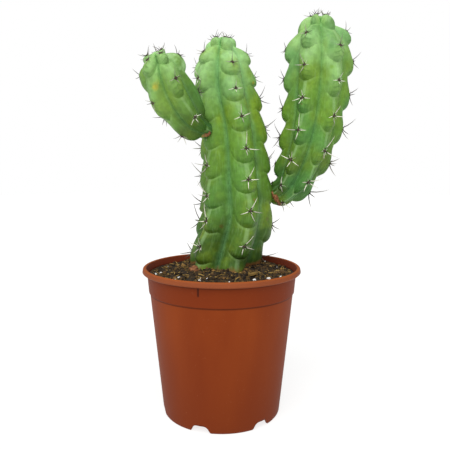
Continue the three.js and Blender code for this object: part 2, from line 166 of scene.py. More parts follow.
mainStem = {
    "path": [(-4, 18, 122), (2.5, 17, 165), (14.5, 15, 210), (14, 14, 250), (10.5, 12, 302), (2, 11, 350),
             (0.5, 10, 399)],
    "girth": [(0, 18), (0.1, 38.5), (0.2, 42), (0.35, 43.5), (0.6, 39), (0.8, 37), (0.9, 33), (1, 27)],
    "domeHeight": 30,
    "ribs": 5,
    "rootAzimuth": 28,
    "tipAzimuth": 25,
    "ribTurn": [-7, 0, 0, 0, 0],  # degrees that each rib strays from even spacing
    "grooveDepth": 0.3,
    "bulge": 4.9,
    "bulgeWidth": 1.25,  # the smaller, the faster a bulge fades towards the grooves
    "crown": 0.67,  # where a bulge stands out most, from the crease above (0) to the crease below (1)
    "rise": 1.15,  # the higher, the hollower a bulge starts from the crease above
    "bulgesPerRib": 10.4,
    "firstPitch": 0.45,  # spacing of the bulges at the tip, as a share of the spacing lower down
    "youngStretch": 2.9,  # about how many bulges it takes to reach the full spacing
    "ribPhase": [0.77, 0.23, 0.95, 0.68, 0.26],
    "smoothRoot": 0.14,
}

rightArm = {
    "path": [(54, 20, 229), (72, 18, 242), (86.5, 14, 271), (95, 11, 301), (101, 8, 350), (102, 7, 420)],
    "girth": [(0, 5), (0.03, 11), (0.08, 18), (0.16, 23.5), (0.3, 29.5), (0.5, 34), (0.8, 36), (0.9, 34),
              (1, 28)],
    "domeHeight": 29,
    "ribs": 6,
    "rootAzimuth": 30,
    "tipAzimuth": 26,
    "ribTurn": [0, 0, 0, 0, 0, 0],
    "grooveDepth": 0.2,
    "bulge": 5.1,
    "bulgeWidth": 1.1,
    "crown": 0.6,
    "rise": 1.7,
    "bulgesPerRib": 7.63,
    "firstPitch": 0.23,
    "youngStretch": 1.16,
    "ribPhase": [0.91, 0.23, 0.7, 0.3, 0.84, 0.48],
    "smoothRoot": 0.1,
}

leftArm = {
    "path": [(-12, -11, 301), (-29, -25, 310), (-47.5, -42, 334), (-61.5, -58, 371)],
    "girth": [(0, 6), (0.1, 13), (0.25, 19), (0.5, 24.5), (0.8, 25), (1, 21)],
    "domeHeight": 15,
    "ribs": 5,
    "rootAzimuth": 8,
    "tipAzimuth": 32,
    "ribTurn": [0, 0, 0, 0, 0],
    "grooveDepth": 0.2,
    "bulge": 4.2,
    "bulgeWidth": 1.25,
    "crown": 0.6,
    "rise": 1.2,
    "bulgesPerRib": 3.3,
    "firstPitch": 0.42,
    "youngStretch": 1,
    "ribPhase": [-0.17, -0.61, 0.2, -0.33, 0.2],
    "smoothRoot": 0.12,
}

bulgeShape = {
    "areole": 0.48,  # where the spines sit, from the crease above (0) to the crease below (1)
    "lastAreole": 0.6,  # how many bulges above the root the last one sits, at the least
    "lip": 1.5,  # the higher, the more abruptly a bulge turns back into the crease below its crest
    "crestRound": 0.16,  # how broad the top of a rib is
    "sideCrown": 0.13,  # how much further down the bulges stand out at the flanks of a rib
    "droop": 0.3,
    "curl": 0.38,  # how far each crease climbs towards the grooves
    "flank": 1.5,
    "apexRise": 0.8,  # how far the middle of the tip stands out, in heights of a bulge
    "youngReach": 1.4,
    "youngBulges": (0.8, 2.4),  # knobs down to the first, plain bulges from the second
    "youngSwell": 0.6,  # how much more a knob stands out
    "youngWidth": 2,
    "youngGroove": 0.12,
    "grooveLine": 0.4,  # mm, the fine sunk line along each groove
    "grooveLineWidth": 0.09,  # as a share of half a rib
    "waver": 0.6,  # mm, slow unevenness of the skin
    "waverSizes": (11, 3.5),  # mm, of the large and the small waves
    "smallWaver": 0.35,
    "columnsPerRib": 26,
    "rowsPerBulge": 22,
    "crowding": 0.6,  # how much closer rows and columns lie at the creases and grooves
}


class StemForm:
    def __init__(self, stem):
        self.stem = stem
        self.samplePath()
        shoulder = self.girthAt(1 - stem["domeHeight"] / self.length)
        self.domeArc = math.pi / 2 * math.sqrt((shoulder**2 + stem["domeHeight"] ** 2) / 2)
        self.profileLength = self.domeArc + self.length - stem["domeHeight"]
        self.pitchTotal = self.pitchSum(stem["bulgesPerRib"])

    def samplePath(self):  # a centripetal Catmull-Rom curve through the path's points
        knots = [Vector(p) for p in self.stem["path"]]
        knots = [2 * knots[0] - knots[1]] + knots + [2 * knots[-1] - knots[-2]]
        steps = 80  # from knot to knot
        self.points = []
        for k in range(1, len(knots) - 2):
            p0, p1, p2, p3 = knots[k - 1 : k + 3]
            d0, d1, d2 = [math.sqrt((b - a).length) for a, b in ((p0, p1), (p1, p2), (p2, p3))]
            m1 = ((p1 - p0) / d0 - (p2 - p0) / (d0 + d1) + (p2 - p1) / d1) * d1
            m2 = ((p2 - p1) / d1 - (p3 - p1) / (d1 + d2) + (p3 - p2) / d2) * d1
            for i in range(steps + (k == len(knots) - 3)):
                t = i / steps
                cubic = 2 * (p1 - p2) + m1 + m2
                square = 3 * (p2 - p1) - 2 * m1 - m2
                self.points.append(p1 + m1 * t + square * t**2 + cubic * t**3)
        self.reach = [0.0]
        for a, b in zip(self.points, self.points[1:]):
            self.reach.append(self.reach[-1] + (b - a).length)
        self.length = self.reach[-1]

    def pathAt(self, share):  # the point and direction at a share of the length
        target = share * self.length
        low, high = 0, len(self.reach) - 1
        while high - low > 1:
            middle = (low + high) // 2
            low, high = (middle, high) if self.reach[middle] <= target else (low, middle)
        t = (target - self.reach[low]) / (self.reach[high] - self.reach[low])
        here = self.points[low].lerp(self.points[high], t)
        before, after = max(low - 1, 0), min(high + 1, len(self.points) - 1)
        heading = (self.points[high] - self.points[before]).lerp(self.points[after] - self.points[low], t)
        return here, heading.normalized()

    def girthAt(self, share):
        stations = self.stem["girth"]
        last = len(stations) - 1
        x = min(max(share, stations[0][0]), stations[last][0])
        i = 0
        while i < last - 1 and x > stations[i + 1][0]:
            i += 1

        def slope(k):
            a, b = stations[max(k - 1, 0)], stations[min(k + 1, last)]
            return (b[1] - a[1]) / (b[0] - a[0])

        (x0, y0), (x1, y1) = stations[i], stations[i + 1]
        width = x1 - x0
        t = (x - x0) / width
        rise = (y1 - y0) / width
        square = 3 * rise - 2 * slope(i) - slope(i + 1)
        cubic = slope(i) + slope(i + 1) - 2 * rise
        return y0 + width * (slope(i) * t + square * t * t + cubic * t**3)

    def pitchAt(self, bulges):
        return 1 - (1 - self.stem["firstPitch"]) * math.exp(-bulges / self.stem["youngStretch"])

    def pitchSum(self, bulges):
        first, stretch = self.stem["firstPitch"], self.stem["youngStretch"]
        return bulges - (1 - first) * stretch * (1 - math.exp(-bulges / stretch))

    def pointAt(self, phase, position):  # phase: bulges from the tip; position: ribs round the stem
        stem, shape = self.stem, bulgeShape
        count = stem["bulgesPerRib"]
        rib = math.floor(position + 0.5)
        aside = position - rib
        offCrest = 2 * abs(aside)
        neighbour = rib + (1 if aside >= 0 else -1)
        phases = stem["ribPhase"]
        blend = smoothStep(offCrest, 0.5, 1) / 2
        late = mix(phases[rib % stem["ribs"]], phases[neighbour % stem["ribs"]], blend)
        soft = shape["crestRound"]
        across = (math.hypot(offCrest, soft) - soft) / (math.hypot(1, soft) - soft)
        late -= shape["curl"] * across ** shape["flank"]
        ends = smoothStep(phase, 0, shape["youngReach"]) * smoothStep(count - phase, 0, shape["youngReach"])
        bulges = min(max(phase + late * ends, 0), count)

        down = self.profileLength * self.pitchSum(bulges) / self.pitchTotal
        lift = math.pi / 2 * min(down / self.domeArc, 1)
        onDome = down < self.domeArc
        domed = self.length - stem["domeHeight"] * (1 - math.cos(lift))
        along = domed if onDome else self.profileLength - down
        share = min(max(along / self.length, 0), 1)
        rooted = smoothStep(share, 0, stem["smoothRoot"])

        young = 1 - smoothStep(phase, *shape["youngBulges"])
        size = stem["bulge"] * math.sqrt(self.pitchAt(phase))
        swell = size * shape["youngSwell"] * young
        bulge = (size + swell) * rooted * smoothStep(phase, 0, 0.5)
        fade = (1 - across ** mix(stem["bulgeWidth"], shape["youngWidth"], young)) ** (2 - young)
        stand = bulge * self.bulgeProfile(phase, offCrest) * fade
        depth = (stem["grooveDepth"] + shape["youngGroove"] * young) * rooted
        groove = 1 - depth * across ** shape["flank"]
        line = shape["grooveLine"] * math.exp(-(((1 - offCrest) / shape["grooveLineWidth"]) ** 2)) * rooted
        radius = ((self.girthAt(share) - bulge) * groove + stand - line) * math.sin(lift)
        middle = (swell + size * shape["apexRise"]) * (1 - smoothStep(phase, 0, 0.5))
        climb = (stand + middle - swell) * math.cos(lift) - shape["droop"] * (1 - young) * stand

        here, tangent = self.pathAt(share)
        front = Vector((0, -1, 0))
        front = (front - tangent * front.dot(tangent)).normalized()
        side = tangent.cross(front)
        strays = stem["ribTurn"]
        turn = mix(strays[rib % stem["ribs"]], strays[neighbour % stem["ribs"]], offCrest / 2)
        turn += mix(stem["rootAzimuth"], stem["tipAzimuth"], share) + 360 * position / stem["ribs"]
        azimuth = math.radians(turn)
        outward = front * math.cos(azimuth) + side * math.sin(azimuth)
        point = here + tangent * climb + outward * radius
        large, small = shape["waverSizes"]
        waver = noise.noise(point / large) + shape["smallWaver"] * noise.noise(point / small)
        return point + outward * (shape["waver"] * waver * math.sin(lift) * rooted)

    def bulgeProfile(self, phase, offCrest):
        share = phase % 1
        crown = self.stem["crown"] + bulgeShape["sideCrown"] * smoothStep(offCrest, 0, 0.5)
        if share < crown:
            return math.sin(math.pi / 2 * share / crown) ** self.stem["rise"]
        lip = mix(bulgeShape["lip"], 1, min(2 * offCrest, 1))
        return math.cos(math.pi / 2 * ((share - crown) / (1 - crown)) ** lip)

    def facingAt(self, phase, position):
        step = 0.05
        up = (self.pointAt(phase - step, position) - self.pointAt(phase + step, position)).normalized()
        ahead, behind = self.pointAt(phase, position + step / 4), self.pointAt(phase, position - step / 4)
        across = (ahead - behind).normalized()
        return across.cross(up).normalized(), up, across

    def areoles(self):
        for rib in range(self.stem["ribs"]):
            bulge = 0
            while bulge + bulgeShape["areole"] < self.stem["bulgesPerRib"] - bulgeShape["lastAreole"]:
                phase = bulge + bulgeShape["areole"]
                yield bulge, self.pointAt(phase, rib), *self.facingAt(phase, rib)
                bulge += 1

    def distanceFrom(self, point):
        steps = 40
        return min(
            (self.pathAt(i / steps)[0] - point).length - self.girthAt(i / steps) for i in range(steps + 1)
        )


def stemBody(form):
    stem = form.stem
    bm = bmesh.new()
    columns = stem["ribs"] * bulgeShape["columnsPerRib"]
    rows = round(stem["bulgesPerRib"] * bulgeShape["rowsPerBulge"])
    bmesh.ops.create_grid(bm, x_segments=columns, y_segments=rows, size=0.5)
    uv = bm.loops.layers.uv.new("ribs")  # ribs round the stem, and bulges down from the tip
    crowd = bulgeShape["crowding"] / (2 * math.pi)
    place = {}
    for vert in bm.verts:
        position, phase = (vert.co.x + 0.5) * stem["ribs"], (0.5 - vert.co.y) * stem["bulgesPerRib"]
        position += crowd * math.sin(2 * math.pi * position)
        place[vert] = (position, max(phase - crowd * math.sin(2 * math.pi * phase), 0))
    for loop in [loop for face in bm.faces for loop in face.loops]:
        loop[uv].uv = place[loop.vert]
    for vert, (position, phase) in place.items():
        vert.co = form.pointAt(phase, position) * mm
    bmesh.ops.remove_doubles(bm, verts=bm.verts, dist=0.01 * mm)
    bmesh.ops.dissolve_degenerate(bm, edges=bm.edges, dist=0.001 * mm)
    rim = [edge for edge in bm.edges if edge.is_boundary]
    cap = bmesh.ops.holes_fill(bm, edges=rim, sides=0)["faces"]
    bmesh.ops.poke(bm, faces=cap)
    bmesh.ops.recalc_face_normals(bm, faces=bm.faces)
    return bm


spines = {
    "radius": 0.58,
    "youngRadius": 0.36,
    "sunk": 1.0,
    "ring": 1.9,  # how far its foot is from the middle of the areole
    "seed": 5,
    "looseSeed": 7,
    # turn about the areole from the tip's side, tilt away from straight out, length
    "cluster": [(10, 40, 18), (100, 62, 13), (180, 58, 12), (262, 62, 13)],
    "spread": 18,
    "lengths": (0.6, 1.25),  # how far the lengths stray, from least to most
    "young": 0.5,  # length at the tip, as a share of the length from matureAt bulges down
    "matureAt": 6,
    "clearance": 2.5,  # from other stems and from the soil
    "margin": 0.2,  # how far the tips stay inside the solid model's box
    "shortest": 0.2,  # the least share of its length that a spine keeps for that
    "sides": 6,
    "taper": [(0.35, 0.86), (0.7, 0.55), (1, 0.06)],  # shares of its length and of its thickness
    "fine": [(55, 70, 6), (145, 72, 5), (305, 70, 6)],  # short thin ones between the long ones
    "fineTurns": (-20, 20),  # how far they stray in turn, tilt and length
    "fineTilts": (-12, 8),
    "fineLengths": (0.6, 1.2),
    "fineRing": 1.33,
    "fineRadius": 0.22,
    "bend": 0.06,  # share of the length by which a spine bows
    "paleFacing": (-0.75, 0.1),  # fully where its areole faces the front, not at all where it faces back
    "youngDark": 0.75,
    "darkDownTo": 3,  # bulges from the tip
    "toneStray": (-0.3, 0.6),
}

areolePad = {"radius": 1.35, "height": 0.8, "oval": 1.25, "roughness": 0.18, "grain": 2.2}


def spineTemplate():  # one unit long, along Z
    bm = bmesh.new()
    uv = bm.loops.layers.uv.new("spine")
    bmesh.ops.create_circle(bm, segments=spines["sides"], radius=1, cap_ends=True)
    for height, thickness in spines["taper"]:
        top = [f for f in bm.faces if all(v.co.z == max(w.co.z for w in bm.verts) for v in f.verts)]
        grown = bmesh.ops.extrude_face_region(bm, geom=top)["geom"]
        bmesh.ops.delete(bm, geom=top, context="FACES_ONLY")
        for vert in [g for g in grown if isinstance(g, bmesh.types.BMVert)]:
            vert.co = Vector((vert.co.xy.normalized() * thickness).to_tuple() + (height,))
    for loop in [loop for face in bm.faces for loop in face.loops]:
        loop[uv].uv = (0, loop.vert.co.z)
    return meshFrom("spineTemplate", bm)


def addCopy(bm, template, matrix, tone=None, bow=None):
    before = len(bm.verts)
    beforeFaces = len(bm.faces)
    bm.from_mesh(template)
    bm.verts.ensure_lookup_table()
    bm.faces.ensure_lookup_table()
    for vert in bm.verts[before:]:
        z = vert.co.z
        vert.co = matrix @ vert.co
        if bow is not None:
            vert.co += bow * (4 * z * (1 - z))
    if tone is not None:
        uv = bm.loops.layers.uv.active
        for face in bm.faces[beforeFaces:]:
            for loop in face.loops:
                loop[uv].uv.x = tone


def spineMatrix(foot, direction, radius, length):
    sunk = spines["sunk"]
    turn = direction.to_track_quat("Z", "Y").to_matrix().to_4x4()
    size = Matrix.Diagonal((radius * mm, radius * mm, (length + sunk) * mm, 1))
    return Matrix.Translation((foot - direction * sunk) * mm) @ turn @ size


def spineAge(bulge):
    return mix(spines["young"], 1, smoothStep(bulge, 0, spines["matureAt"]))


def spineTone(out, bulge, loose):  # 0 where pale, on the older ones whose areoles face the front, 1 where dark
    young = spines["youngDark"] * (1 - smoothStep(bulge, 0, spines["darkDownTo"]))
    dark = max(smoothStep(out.y, *spines["paleFacing"]), young)
    return min(max(dark + loose.uniform(*spines["toneStray"]), 0), 1)


def shareInside(foot, tip):  # how much of a spine stays inside the solid model's box
    share = 1
    for a, b, low, high in zip(foot, tip, *cadBox):
        low, high = low / mm + spines["margin"], high / mm - spines["margin"]
        if not low < b < high:
            share = min(share, ((high if b > a else low) - a) / (b - a))
    return max(share, spines["shortest"])


def aimSpine(point, facing, turn, tilt, ring, length):  # its foot, its direction and how long it may be
    out, up, across = facing
    around, away = math.radians(turn), math.radians(tilt)
    aside = up * math.cos(around) + across * math.sin(around)
    foot = point + aside * ring
    direction = (out * math.cos(away) + aside * math.sin(away)).normalized()
    return foot, direction, length * shareInside(foot, foot + direction * length)


def growSpines(form, neighbours, template):
    draw = seededRandom(spines["seed"])
    looseDraw = seededRandom(spines["seed"] + 1)
    loose = random.Random(spines["looseSeed"])
    lowest = soil["wallLevel"] + soil["moundHeight"] + spines["clearance"]
    bm = bmesh.new()
    bm.loops.layers.uv.new("spine")
    for bulge, point, out, up, across in form.areoles():
        for turn, tilt, length in spines["cluster"]:
            pick = draw if bulge else looseDraw
            turn += spines["spread"] * (2 * next(pick) - 1)
            tilt += spines["spread"] * (2 * next(pick) - 1)
            length = length * mix(*spines["lengths"], next(pick)) * spineAge(bulge)
            foot, direction, grown = aimSpine(point, (out, up, across), turn, tilt, spines["ring"], length)
            tip = foot + direction * grown
            clear = all(
                min(other.distanceFrom(tip), other.distanceFrom(foot)) > spines["clearance"]
                for other in neighbours
            )
            if clear and min(tip.z, foot.z) > lowest:
                bow = across.cross(direction) * (grown * spines["bend"] * mm)
                grownShare = smoothStep(bulge, 0, spines["matureAt"])
                radius = mix(spines["youngRadius"], spines["radius"], grownShare)
                matrix = spineMatrix(foot, direction, radius, grown)
                addCopy(bm, template, matrix, spineTone(out, bulge, loose), bow)
        for turn, tilt, length in spines["fine"]:
            turn += loose.uniform(*spines["fineTurns"])
            tilt += loose.uniform(*spines["fineTilts"])
            length = length * loose.uniform(*spines["fineLengths"]) * spineAge(bulge)
            foot, direction, grown = aimSpine(point, (out, up, across), turn, tilt, spines["fineRing"], length)
            if foot.z > lowest:
                matrix = spineMatrix(foot, direction, spines["fineRadius"], grown)
                addCopy(bm, template, matrix, spineTone(out, bulge, loose))
    bmesh.ops.recalc_face_normals(bm, faces=bm.faces)
    return bm


def growAreoles(form):
    bm = bmesh.new()
    for _, point, out, up, across in form.areoles():
        if point.z < soil["wallLevel"] + soil["moundHeight"]:
            continue
        wide, high = areolePad["radius"] * mm, areolePad["height"] * mm
        turn = Matrix((across, up, out)).transposed().to_4x4()
        size = Matrix.Diagonal((wide, areolePad["oval"] * wide, high, 1))
        lump = bmesh.ops.create_icosphere(bm, subdivisions=2, radius=1)["verts"]
        for vert in lump:
            vert.co *= 1 + areolePad["roughness"] * noise.noise(vert.co * areolePad["grain"] + point)
            vert.co = Matrix.Translation(point * mm) @ turn @ size @ vert.co
    return bm


pot = {
    "rimRadius": 85,
    "height": 160,
    "beadHeight": 6.5,
    "bead": [(2, 6.5), (0, 4.9), (0.7, 1.2), (2.4, 0), (4.2, 0.6)],  # in from the rim, down from the top
    "beadUndercut": 0.6,
    "collarTopRadius": 79.9,
    "collarBottomRadius": 78.2,
    "collarBottomHeight": 133.5,
    "stepRadius": 76.7,
    "stepHeight": 129.5,
    "ledge": 0.8,  # height of the step under the collar
    "heelRadius": 64.2,
    "heelHeight": 7,
    "footRadius": 62.8,
    "footWidth": 3,
    "footEdge": [(-0.5, 0), (0.7, 1.6)],  # out from the foot's radius, and height
    "filletReach": 3,  # where the wall meets the floor
    "filletRise": 4,
    "wall": 1.7,
    "floorHeight": 9,
    "steps": 180,
    "rounding": 0.4,  # mm cut off each corner of the outline before it is rounded
}

notch = {
    "count": 6,
    "firstAzimuth": -20,
    "width": 22,  # where it meets the ground
    "topWidth": 14,
    "height": 7.5,
    "corner": 3,
    "depth": 16,
}
drain = {"count": 6, "radius": 4.5, "circle": 42}


def potTaper(height):
    share = (height - pot["heelHeight"]) / (pot["stepHeight"] - pot["heelHeight"])
    return mix(pot["heelRadius"], pot["stepRadius"], share)


def potOutline():
    p, top = pot, pot["height"]
    beadBottom = top - p["beadHeight"]
    floorTop = p["floorHeight"] + p["wall"]
    footInside = p["footRadius"] - p["footWidth"]
    rim = [(p["rimRadius"] - inward, top - down) for inward, down in p["bead"]]
    foot = [(p["footRadius"] + out, height) for out, height in p["footEdge"]]
    inner = floorTop + p["filletRise"]
    lowRing, underLedge = notch["height"] + 3, p["collarBottomHeight"] - p["ledge"]
    return [
        (0, p["floorHeight"]),
        (footInside, p["floorHeight"]),
        (footInside, 0),
        *foot,
        (p["heelRadius"], p["heelHeight"]),
        (potTaper(lowRing), lowRing),  # a ring of its own over the notches keeps the wall's shading even
        (potTaper(underLedge), underLedge),
        (p["collarBottomRadius"], p["collarBottomHeight"]),
        (p["collarTopRadius"], beadBottom - p["beadUndercut"]),
        *rim,
        (p["collarTopRadius"] - p["wall"], beadBottom),
        (p["collarBottomRadius"] - p["wall"], p["collarBottomHeight"]),
        (p["stepRadius"] - p["wall"], p["stepHeight"]),
        (potTaper(inner) - p["wall"], inner),
        (potTaper(floorTop) - p["wall"] - p["filletReach"], floorTop),
        (0, floorTop),
    ]


def drawOutline(outline):  # the radius and height of each corner
    bm = bmesh.new()
    verts = [bm.verts.new((radius * mm, 0, height * mm)) for radius, height in outline]
    for a, b in zip(verts, verts[1:]):
        bm.edges.new((a, b))
    return bm, verts


def spinFull(bm, steps, weld):
    drawn, turn = list(bm.verts) + list(bm.edges), 2 * math.pi
    bmesh.ops.spin(bm, geom=drawn, cent=(0, 0, 0), axis=(0, 0, 1), angle=turn, steps=steps, use_merge=True)
    bmesh.ops.remove_doubles(bm, verts=bm.verts, dist=weld * mm)


def potBody():
    bm, verts = drawOutline(potOutline())
    size = pot["rounding"] * mm
    bmesh.ops.bevel(
        bm, geom=verts[1:-1], offset=size, segments=3, profile=0.5, affect="VERTICES", material=-1
    )
    spinFull(bm, pot["steps"], 0.01)
    bmesh.ops.recalc_face_normals(bm, faces=bm.faces)
    return bm


def potCutters():  # the arched notches in the foot, and the drain holes
    bm = bmesh.new()
    depth, high = notch["depth"] * mm, notch["height"] * mm
    for i in range(notch["count"]):
        turn = Matrix.Rotation(math.radians(notch["firstAzimuth"] + 360 * i / notch["count"]), 4, "Z")
        place = turn @ Matrix.Translation((0, (pot["footWidth"] - pot["footRadius"]) * mm, 0))
        below = 2 * notch["width"] - notch["topWidth"]  # its width as far under the ground as it is high
        size = Matrix.Diagonal((below * mm, depth, 2 * high, 1))
        block = bmesh.ops.create_cube(bm, size=1, matrix=size)["verts"]
        crown = {vert for vert in block if vert.co.z > 0}
        for vert in crown:
            vert.co.x *= notch["topWidth"] / below
        arris = [edge for edge in bm.edges if crown.issuperset(edge.verts) and edge.calc_length() > depth / 2]
        arris = [edge for edge in arris if abs(edge.verts[0].co.x - edge.verts[1].co.x) < 0.1 * mm]
        rounded = bmesh.ops.bevel(
            bm, geom=arris, offset=notch["corner"] * mm, segments=5, profile=0.5, affect="EDGES", material=-1
        )
        whole = {vert for vert in block if vert.is_valid} | set(rounded["verts"])
        bmesh.ops.transform(bm, matrix=place, verts=list(whole))
    for i in range(drain["count"] + 1):
        turn = Matrix.Rotation(math.radians(notch["firstAzimuth"] + 360 * i / drain["count"]), 4, "Z")
        out = drain["circle"] * mm if i < drain["count"] else 0
        place = turn @ Matrix.Translation((0, -out, (pot["floorHeight"] + pot["wall"] / 2) * mm))
        bmesh.ops.create_cone(
            bm, cap_ends=True, segments=32, radius1=drain["radius"] * mm, radius2=drain["radius"] * mm,
            depth=5 * mm, matrix=place,
        )
    bmesh.ops.recalc_face_normals(bm, faces=bm.faces)
    return bm


def cutWith(piece, cutterMesh):
    cutter = addObject("cutter", cutterMesh)
    cut = piece.modifiers.new("cut", "BOOLEAN")
    cut.operation, cut.solver, cut.object = "DIFFERENCE", "EXACT", cutter
    graph = bpy.context.evaluated_depsgraph_get()
    shaped = bpy.data.meshes.new_from_object(piece.evaluated_get(graph))
    piece.modifiers.clear()
    piece.data = shaped
    bpy.data.objects.remove(cutter)


soil = {
    "wallLevel": 152.5,
    "moundHeight": 5,
    "moundReach": (34, 72),  # from the stem, where the mound starts to fall and where it ends
    "gap": 0.3,
    "lumpHeight": 1.8,
    "lumpWaves": [(0.31, 0.12, 1.3), (-0.14, 0.29, 0.4), (0.24, -0.21, 2.1)],
    "calmEdge": (66, 76),
    "grainSizes": (2.2, 5),
    "grainHeight": 0.7,
    "rings": 70,
    "steps": 220,
    "crumbs": 2600,
    "crumbShapes": 5,
    "crumbRoughness": 0.9,
    "crumbSize": (0.7, 2.5),
    "crumbWidth": (0.45, 0.9),  # shares of its size
    "crumbThickness": (0.3, 0.7),
    "crumbTones": (0, 0.6),  # from dark (0) to tan (1)
    "fibres": 700,
    "fibreLength": (3, 10),
    "fibreWidth": (0.35, 0.8),
    "fibreThickness": (0.3, 0.6),
    "fibreTilt": 0.35,
    "fibreTones": (0.55, 1),
    "wallClearance": 3,
    "seed": 31,
}

coarseCrumbs = {
    "count": 44, "sizes": (1.8, 3.4), "shape": (1, 0.72, 0.6), "reach": 71, "roughness": 0.5, "seed": 41,
}

perlite = {
    "radius": 1.6,
    "sizes": (0.7, 1.2),
    "shape": (1.2, 1, 0.8),
    "seed": 23,
    "positions": [(-65, -6), (-22, -50), (-18, -61), (-13, -54), (15, -66), (48, -36), (42, 25), (-48, -40),
                  (60, 12), (-30, 58), (20, 62), (-62, 30)],
    "bits": [(-22, -38), (-18.5, -42), (-14, -40), (-70, -14), (8, -50), (33, -44), (62, -22), (-44, -28),
             (50, 30), (-20, 66)],  # which the solid model leaves out
    "bitRadius": 1.6,
    "roughness": 0.35,
}


def soilHeight(x, y):
    stemX, stemY, _ = mainStem["path"][1]
    mound = soil["moundHeight"] * (1 - smoothStep(math.hypot(x - stemX, y - stemY), *soil["moundReach"]))
    lumps = sum(math.sin(alongX * x + alongY * y + start) for alongX, alongY, start in soil["lumpWaves"])
    calm = 1 - smoothStep(math.hypot(x, y), *soil["calmEdge"])
    return soil["wallLevel"] + mound + soil["lumpHeight"] * calm * lumps / len(soil["lumpWaves"])


def soilBody():
    inside = pot["wall"] + soil["gap"]
    bottom = pot["floorHeight"] + inside
    inner = bottom + pot["filletRise"]
    collarHeight = pot["height"] - pot["beadHeight"] - pot["collarBottomHeight"]
    rise = (soil["wallLevel"] - pot["collarBottomHeight"]) / collarHeight
    topRadius = mix(pot["collarBottomRadius"], pot["collarTopRadius"], rise) - inside
    outline = [
        (0, bottom),
        (potTaper(bottom) - inside - pot["filletReach"], bottom),
        (potTaper(inner) - inside, inner),
        (pot["stepRadius"] - inside, pot["stepHeight"]),
        (pot["collarBottomRadius"] - inside, pot["collarBottomHeight"]),
    ]
    rings = soil["rings"]
    outline += [(topRadius * (1 - i / rings), soil["wallLevel"]) for i in range(rings + 1)]
    bm, _ = drawOutline(outline)
    spinFull(bm, soil["steps"], 0.005)
    fine, coarse = soil["grainSizes"]
    for vert in bm.verts:
        if vert.co.z > (soil["wallLevel"] - 0.1) * mm:
            x, y = vert.co.x / mm, vert.co.y / mm
            grain = noise.noise(Vector((x, y, 0)) / fine) + 0.8 * noise.noise(Vector((x, y, 5)) / coarse)
            vert.co.z = (soilHeight(x, y) + soil["grainHeight"] * grain) * mm
    bmesh.ops.recalc_face_normals(bm, faces=bm.faces)
    return bm


def lumpTemplate(seed):
    bm = bmesh.new()
    bmesh.ops.create_icosphere(bm, subdivisions=1, radius=1)
    for vert in bm.verts:
        vert.co *= 1 + soil["crumbRoughness"] * noise.noise(vert.co * 1.7 + Vector((seed, 0, 0)))
    bm.loops.layers.uv.new("tone")
    return meshFrom("lumpTemplate", bm)


def scatterCrumbs():
    rnd = random.Random(soil["seed"])
    crumbs = [lumpTemplate(seed) for seed in range(soil["crumbShapes"])]
    bm = bmesh.new()
    bm.loops.layers.uv.new("tone")
    reach = pot["collarTopRadius"] - pot["wall"] - soil["wallClearance"]
    for i in range(soil["crumbs"] + soil["fibres"]):
        radius = reach * math.sqrt(rnd.random())
        azimuth = rnd.uniform(0, 2 * math.pi)
        x, y = radius * math.cos(azimuth), radius * math.sin(azimuth)
        turn = Quaternion([rnd.gauss(0, 1) for _ in range(4)]).normalized()
        if i < soil["crumbs"]:
            low, high = soil["crumbSize"]
            size = low * (high / low) ** rnd.random()
            shape = (size, size * rnd.uniform(*soil["crumbWidth"]), size * rnd.uniform(*soil["crumbThickness"]))
            tone = rnd.uniform(*soil["crumbTones"])
        else:
            half = rnd.uniform(*soil["fibreLength"]) / 2
            shape = (half, rnd.uniform(*soil["fibreWidth"]), rnd.uniform(*soil["fibreThickness"]))
            turn = Quaternion((0, 0, 1), rnd.uniform(0, math.pi))
            turn = turn @ Quaternion((0, 1, 0), rnd.uniform(-soil["fibreTilt"], soil["fibreTilt"]))
            tone = rnd.uniform(*soil["fibreTones"])
        lift = soilHeight(x, y) + 0.35 * min(shape)
        place = Matrix.Translation(Vector((x, y, lift)) * mm) @ turn.to_matrix().to_4x4()
        addCopy(bm, rnd.choice(crumbs), place @ Matrix.Diagonal([s * mm for s in shape] + [1]), tone)
    return bm


def addGrain(bm, x, y, size, shape, turn, roughness):  # half sunk, where the solid model has it
    lump = bmesh.ops.create_icosphere(bm, subdivisions=3, radius=1)["verts"]
    place = Matrix.Translation(Vector((x, y, soilHeight(x, y) + soil["gap"])) * mm)
    place = place @ Matrix.Rotation(turn, 4, "Z")
    place = place @ Matrix.Diagonal([size * mm * side for side in shape] + [1])
    for vert in lump:
        vert.co *= 0.95 + roughness * noise.noise(vert.co * 1.9 + Vector((x, y, 0)))
        vert.co = place @ vert.co


def scatterCoarse():
    draw = seededRandom(coarseCrumbs["seed"])
    bm = bmesh.new()
    for i in range(coarseCrumbs["count"]):
        circle = coarseCrumbs["reach"] * math.sqrt(next(draw))
        azimuth = 2 * math.pi * next(draw)
        size = mix(*coarseCrumbs["sizes"], next(draw))
        x, y = circle * math.cos(azimuth), circle * math.sin(azimuth)
        addGrain(bm, x, y, size, coarseCrumbs["shape"], math.pi * next(draw), coarseCrumbs["roughness"])
    return bm


def scatterPerlite():
    draw = seededRandom(perlite["seed"])
    bm = bmesh.new()
    for radius, spots in ((perlite["radius"], perlite["positions"]), (perlite["bitRadius"], perlite["bits"])):
        for x, y in spots:
            size = radius * mix(*perlite["sizes"], next(draw))
            addGrain(bm, x, y, size, perlite["shape"], math.pi * next(draw), perlite["roughness"])
    return bm


chip = {
    "length": 9.5, "width": 6, "thickness": 2.6, "turn": 14, "taper": 0.45, "round": 0.35, "curl": 0.5,
    "relief": 0.35, "raggedEnds": 0.04,
}


